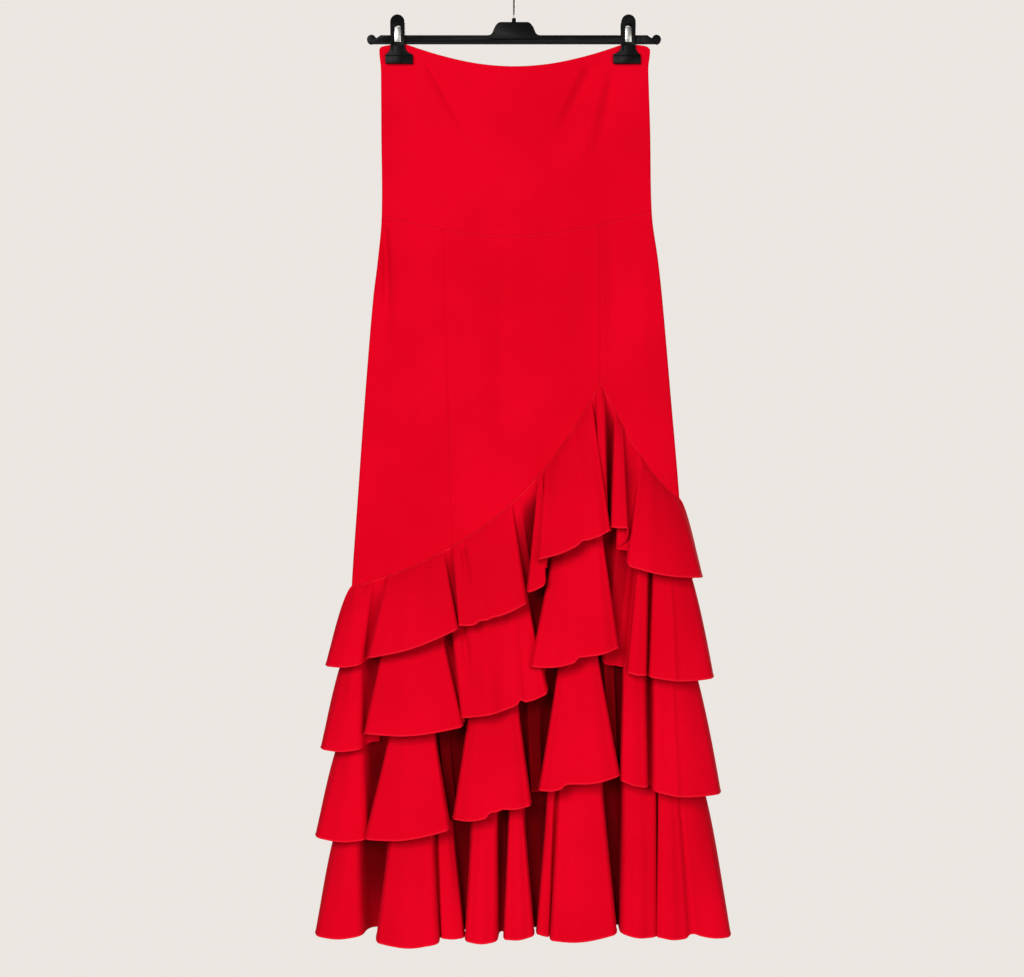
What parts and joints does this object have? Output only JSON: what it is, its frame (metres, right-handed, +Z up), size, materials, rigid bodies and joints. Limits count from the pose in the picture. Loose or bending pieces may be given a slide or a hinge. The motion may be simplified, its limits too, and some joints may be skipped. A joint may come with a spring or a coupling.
{
  "type": "flamenco skirt on a clip hanger",
  "caption": "Long red flamenco skirt, fitted to the knee, with fluted flounces on seams that climb to one thigh, clipped flat to a black trouser hanger with a wire hook",
  "frame": {"origin": "The inside of the hook's crown, where the hanger rests on a rail", "axes": "+X to the right as the front is looked at, +Y from the front to the back, +Z up"},
  "size_m": [0.4757, 0.1544, 1.1069],
  "materials": {
    "cloth": "matte crepe jersey, dyed bright red, smooth and heavy",
    "hanger_plastic": "moulded black plastic with a faint satin",
    "steel_wire": "bright plated steel"
  },
  "bodies": {
    "root": {"yoke_front": "cloth", "yoke_back": "cloth", "panel_front_left": "cloth", "panel_front_centre": "cloth", "panel_front_right": "cloth", "panel_back": "cloth", "under_panel_front": "cloth", "under_panel_back": "cloth", "flounce_1_front": "cloth", "flounce_1_back": "cloth", "flounce_2_front": "cloth", "flounce_2_back": "cloth", "flounce_3_front": "cloth", "flounce_3_back": "cloth", "flounce_4_front": "cloth", "flounce_4_back": "cloth", "hanger_bar": "hanger_plastic", "hook": "steel_wire", "clip_left_front_jaw": "hanger_plastic", "clip_left_rear_jaw": "hanger_plastic", "clip_left_spring": "steel_wire", "clip_right_front_jaw": "hanger_plastic", "clip_right_rear_jaw": "hanger_plastic", "clip_right_spring": "steel_wire"}
  },
  "joints": []
}
